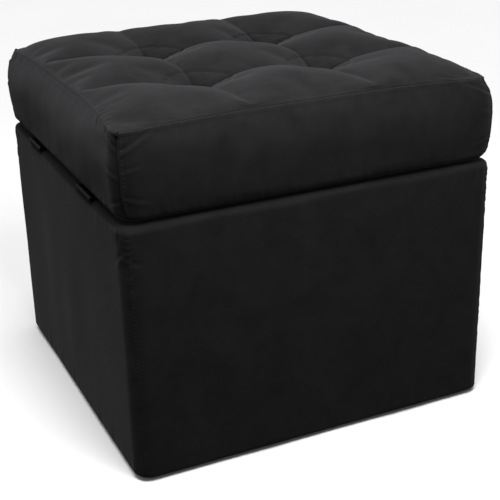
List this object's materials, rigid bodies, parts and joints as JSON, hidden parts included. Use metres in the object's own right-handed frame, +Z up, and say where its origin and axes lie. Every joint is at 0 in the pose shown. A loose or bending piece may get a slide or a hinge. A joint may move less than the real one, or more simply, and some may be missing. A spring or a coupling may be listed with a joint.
{
  "type": "storage ottoman",
  "caption": "Square upholstered footstool box with a storage compartment and a tufted seat lid hinged along the back edge.",
  "frame": {"origin": "on the floor, under the middle of the lid's outline", "axes": "+Z up; +Y towards the hinged back edge; +X to the right of someone facing the back from the front"},
  "size_m": [0.45, 0.45, 0.4143],
  "materials": {
    "suede": "matte",
    "lining": "matte",
    "dust_cloth": "matte",
    "fibreboard": "matte",
    "timber": "matte",
    "wadding": "matte",
    "foam": "matte",
    "twine": "matte",
    "steel": "satin",
    "black_steel": "satin",
    "glide_plastic": "matte"
  },
  "bodies": {
    "base": {"front_board": "fibreboard", "back_board": "fibreboard", "left_board": "fibreboard", "right_board": "fibreboard", "floor_board": "fibreboard", "corner_block_front_left": "timber", "corner_block_front_right": "timber", "corner_block_back_right": "timber", "corner_block_back_left": "timber", "front_wadding": "wadding", "right_wadding": "wadding", "back_wadding": "wadding", "left_wadding": "wadding", "base_cover": "suede", "side_lining": "lining", "floor_lining": "lining", "dust_cover": "dust_cloth", "glide_front_left": "glide_plastic", "glide_nail_front_left": "steel", "glide_front_right": "glide_plastic", "glide_nail_front_right": "steel", "glide_back_right": "glide_plastic", "glide_nail_back_right": "steel", "glide_back_left": "glide_plastic", "glide_nail_back_left": "steel", "hinge_left_base_leaf": "black_steel", "hinge_left_pin": "black_steel", "hinge_left_base_screw_outer": "black_steel", "hinge_left_base_screw_inner": "black_steel", "hinge_right_base_leaf": "black_steel", "hinge_right_pin": "black_steel", "hinge_right_base_screw_outer": "black_steel", "hinge_right_base_screw_inner": "black_steel"},
    "lid": {"lid_board": "fibreboard", "lid_foam": "foam", "lid_top_panel": "suede", "lid_band": "suede", "lid_lining": "lining", "tuft_twine_front_left": "twine", "tuft_washer_front_left": "steel", "tuft_twine_front_right": "twine", "tuft_washer_front_right": "steel", "tuft_twine_back_right": "twine", "tuft_washer_back_right": "steel", "tuft_twine_back_left": "twine", "tuft_washer_back_left": "steel", "hinge_left_lid_leaf": "black_steel", "hinge_left_lid_screw_outer": "black_steel", "hinge_left_lid_screw_inner": "black_steel", "hinge_right_lid_leaf": "black_steel", "hinge_right_lid_screw_outer": "black_steel", "hinge_right_lid_screw_inner": "black_steel"}
  },
  "joints": [
    {"name": "lid_hinge", "type": "hinge", "parent": "base", "child": "lid", "pos_m": [0, 0.222, 0.29865], "axis": [-1, 0, 0], "range_deg": [0, 105]}
  ]
}
